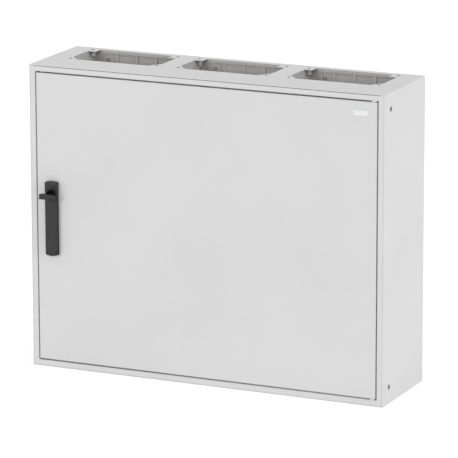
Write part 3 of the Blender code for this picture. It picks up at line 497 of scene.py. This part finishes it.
def lever_moulding():
    """The lever: its side outline carried across, with quarter-round long edges cut short.

    The half width goes from the arm's to the lip's by the smooth step 3 s squared less 2 s cubed, where s is
    the way out from the arm.  The lower end is crowned by the square of the share of the way across, and the
    lip's upper corners fall by the power 1.5 of that share, once past the level middle.
    """
    outline = lever_side()
    curve = np.linspace(0, np.pi / 2, 6)
    drawn = np.minimum(LEVER_EDGE * (1 - np.sin(curve)), LEVER_EDGE_IN)
    drawn = np.concatenate([drawn, [0.0], drawn[::-1]])
    across = 1 - LEVER_EDGE / HANDLE_HALF * (1 - np.cos(curve))
    share = np.concatenate([-across, [0.0], across[::-1]])[:, None]
    rows = np.empty((len(share), len(outline), 3))
    rows[:, :, 1:] = outline[None] + inward(outline)[None] * drawn[:, None, None]
    out = HEAD_FACE - rows[:, :, 1]
    s = np.clip(out / LIP_NARROWING, 0, 1)
    half = HANDLE_HALF + (LIP_HALF - HANDLE_HALF) * s ** 2 * (3 - 2 * s)
    rows[:, :, 0] = HANDLE_X + half * share
    fall = np.clip(1 - (rows[:, :, 2] - HANDLE_LOW) / CROWN_RUN, 0, 1)
    rows[:, :, 2] += CROWN * share ** 2 * fall
    reach = np.clip(out / (HEAD_FACE - LEVER_TIP), 0, 1)
    lift = np.clip((rows[:, :, 2] - ARM_END) / LIP_RISE, 0, 1)
    corner = np.clip((np.abs(share) - LIP_LEVEL) / (1 - LIP_LEVEL), 0, 1)
    rows[:, :, 2] -= LIP_CORNER * corner ** LIP_CORNER_BEND * lift * reach
    put("lever_moulding", [skin(rows)], "lever", "black_plastic", ["lever"], sharp=50)


# ---- small fixings -----------------------------------------------------------------------------------------
def socket_screws():
    """Flush screw heads with a six-sided socket: a profile turned round z, whose socket rows are hexagons."""
    for name in sorted(node for node in frame["nodes"] if node.startswith("flange_screw_")):
        low, high = span(name)
        radius, top = (high[0] - low[0]) / 2, high[2]
        profile = [(radius, low[2]), (radius, top - SCREW_EDGE), (radius - SCREW_EDGE, top),
                   (-SOCKET_RADIUS - SOCKET_EDGE, top), (-SOCKET_RADIUS, top - SOCKET_EDGE),
                   (-SOCKET_RADIUS, top - SOCKET_DEPTH)]
        centre = ((low[0] + high[0]) / 2, (low[1] + high[1]) / 2, 0.0)
        head = skin(turned(centre, "z", profile, steps=36, sides=6))
        put(name + "_head", [head], "cabinet", "blackened_steel", [name], sharp=25)


def side_plugs():
    """Round plastic plugs: a profile turned round x, with a flat rim and a shallow dish inside it."""
    for name in sorted(node for node in frame["nodes"] if node.startswith("side_screw_")):
        low, high = span(name)
        sign = 1 if high[0] > 0 else -1
        outer, inner = (high[0], low[0]) if sign > 0 else (low[0], high[0])
        wide = (high[1] - low[1]) / 2
        radius = wide / PLUG_FLANGE
        shoulder = outer - sign * PLUG_PROUD
        profile = [(wide, inner), (wide, shoulder), (radius, shoulder), (radius, outer - sign * PLUG_EDGE),
                   (radius - PLUG_EDGE, outer), (radius - PLUG_RIM, outer),
                   (radius - PLUG_RIM - PLUG_SLOPE, outer - sign * PLUG_SLOPE),
                   (PLUG_MIDDLE, outer - sign * PLUG_DISH)]
        centre = (0.0, (low[1] + high[1]) / 2, (low[2] + high[2]) / 2)
        put(name + "_plug", [skin(turned(centre, "x", profile))], "cabinet", "dark_grey_plastic", [name])


def round_pin(name, axis, body):
    """A steel pin with rounded ends: a profile turned round the pin's axis."""
    low, high = span(name)
    k = "xyz".index(axis)
    radius = (high[1] - low[1]) / 2
    edge = radius * PIN_EDGE
    slant = 0.3 * edge
    profile = [(radius - edge, low[k]), (radius - slant, low[k] + slant), (radius, low[k] + edge),
               (radius, high[k] - edge), (radius - slant, high[k] - slant), (radius - edge, high[k])]
    centre = (low + high) / 2
    centre[k] = 0.0
    put(name + "_round", [skin(turned(centre, axis, profile, steps=32))], body, "bright_steel", [name])


def label():
    """A blank plate with rounded corners and a softened front edge."""
    low, high = span("label_plate")
    corners = [(low[0], low[2]), (high[0], low[2]), (high[0], high[2]), (low[0], high[2])]
    rows = eased_prism(rounded(corners, LABEL_CORNER), "y", low[1], high[1], LABEL_EDGE, 0.0)
    put("label_plate_film", [skin(rows)], "door", "white_label", ["label_plate"])


def foam_bead():
    """The foamed door gasket: a domed section carried round a rectangle with rounded corners.

    At angle a, from 0 to half a turn, the section stands half width cos a across and full height sin a high.
    """
    low, high = span("door_gasket")
    left, right = low[0] + FOAM_HALF, high[0] - FOAM_HALF
    bottom, top = low[2] + FOAM_HALF, high[2] - FOAM_HALF
    path = rounded([(left, bottom), (right, bottom), (right, top), (left, top)], FOAM_CORNER, steps=8)
    turn = np.linspace(0, np.pi, 15)[:, None]
    rows = np.empty((len(turn), len(path), 3))
    rows[:, :, ::2] = path[None] + inward(path)[None] * FOAM_HALF * np.cos(turn)[:, :, None]
    rows[:, :, 1] = low[1] + (high[1] - low[1]) * np.sin(turn)
    put("door_gasket_foam", [skin(rows, ring=True)], "door", "black_foam_rubber", ["door_gasket"], sharp=60)


# ---- stage, light and camera ---------------------------------------------------------------------------
def largest(tree, first, *others):
    """The largest of several values."""
    for other in others:
        first = add_node(tree, "ShaderNodeMath", [(0, first), (1, other)], operation="MAXIMUM").outputs[0]
    return first


def studio_floor():
    """A plain pale floor that keeps the cabinet's shadow; it glows a little, but only for camera, mirror and
    glass rays, so that it reads as white and lights nothing."""
    mesh = bpy.data.meshes.new("studio_floor")
    far = FLOOR_HALF
    mesh.from_pydata([(-far, -far, 0), (far, -far, 0), (far, far, 0), (-far, far, 0)], [], [(0, 1, 2, 3)])
    floor = bpy.data.objects.new("studio_floor", mesh)
    bpy.context.scene.collection.objects.link(floor)
    floor.location.z = cad_low[2] - FLOOR_DROP
    made, tree, shader, place = new_material("pale_studio_floor", 0.9)
    tree.links.new(two_tones(tree, place, "E9E9E9", "EBEBEB", scale=0.5), shader.inputs["Base Color"])
    shader.inputs["Specular IOR Level"].default_value = 0.0
    ray = add_node(tree, "ShaderNodeLightPath").outputs
    seen = largest(tree, ray["Is Camera Ray"], ray["Is Glossy Ray"], ray["Is Transmission Ray"])
    glow = add_node(tree, "ShaderNodeMath", [(0, seen)], operation="MULTIPLY", in_1=FLOOR_GLOW)
    shader.inputs["Emission Color"].default_value = (1, 1, 1, 1)
    tree.links.new(glow.outputs[0], shader.inputs["Emission Strength"])
    mesh.materials.append(made)


def studio_world():
    """An even pale studio all round, seen as white."""
    world = bpy.data.worlds.new("studio")
    bpy.context.scene.world = world
    world.use_nodes = True
    tree = world.node_tree
    back = tree.nodes["Background"]
    ray = add_node(tree, "ShaderNodeLightPath").outputs
    seen = largest(tree, ray["Is Camera Ray"], ray["Is Transmission Ray"])
    level = add_node(tree, "ShaderNodeMapRange", [("Value", seen)], in_To_Min=SKY_LIGHT, in_To_Max=1.0)
    back.inputs["Color"].default_value = (1, 1, 1, 1)
    tree.links.new(level.outputs["Result"], back.inputs["Strength"])


def soft_sun(name, turn, rise, spread, strength):
    """Parallel soft light; turn is degrees right of the door's outward normal, rise degrees above level."""
    data = bpy.data.lights.new(name, "SUN")
    data.angle = math.radians(spread)
    data.energy = strength
    made = bpy.data.objects.new(name, data)
    bpy.context.scene.collection.objects.link(made)
    turn, rise = math.radians(turn), math.radians(rise)
    source = Vector((math.sin(turn) * math.cos(rise), -math.cos(turn) * math.cos(rise), math.sin(rise)))
    made.rotation_euler = (-source).to_track_quat("-Z", "Y").to_euler()


def product_camera():
    """The camera stands to the right of the door, above the cabinet, and looks slightly down."""
    place = Vector((BODY_LEFT, FRONT, cad_low[2])) + Vector(CAMERA_FROM_CORNER)
    heading, pitch, roll = (math.radians(angle) for angle in (CAMERA_HEADING, CAMERA_PITCH, CAMERA_ROLL))
    ahead = Vector((math.sin(heading) * math.cos(pitch), math.cos(heading) * math.cos(pitch),
                    math.sin(pitch)))
    level = ahead.cross(Vector((0, 0, 1))).normalized()
    above = level.cross(ahead)
    right = level * math.cos(roll) + above * math.sin(roll)
    up = above * math.cos(roll) - level * math.sin(roll)
    data = bpy.data.cameras.new("product_camera")
    data.sensor_width = CAMERA_SENSOR
    data.lens = CAMERA_LENS
    data.clip_end = CAMERA_REACH
    made = bpy.data.objects.new("product_camera", data)
    bpy.context.scene.collection.objects.link(made)
    made.matrix_world = Matrix.Translation(place) @ Matrix((right, up, -ahead)).transposed().to_4x4()
    bpy.context.scene.camera = made


# ---- the cabinet and its studio --------------------------------------------------------------------------
finish_cad_nodes()
softened_sheet("door_panel", "door", DOOR_EDGE)
softened_sheet("front_frame", "cabinet", FRAME_EDGE)
for panel_name in ("side_panel_left", "side_panel_right", "top_panel", "base_panel", "rear_panel"):
    softened_sheet(panel_name, "cabinet", SHELL_EDGE)
handle_base()
lever_moulding()
socket_screws()
side_plugs()
round_pin("hinge_pin_lower", "z", "cabinet")
round_pin("hinge_pin_upper", "z", "cabinet")
round_pin("lever_pin", "x", "lever")
label()
foam_bead()

studio_world()
studio_floor()
for sun in SUNS:
    soft_sun(*sun)
product_camera()
bpy.context.scene.view_settings.view_transform = "Standard"
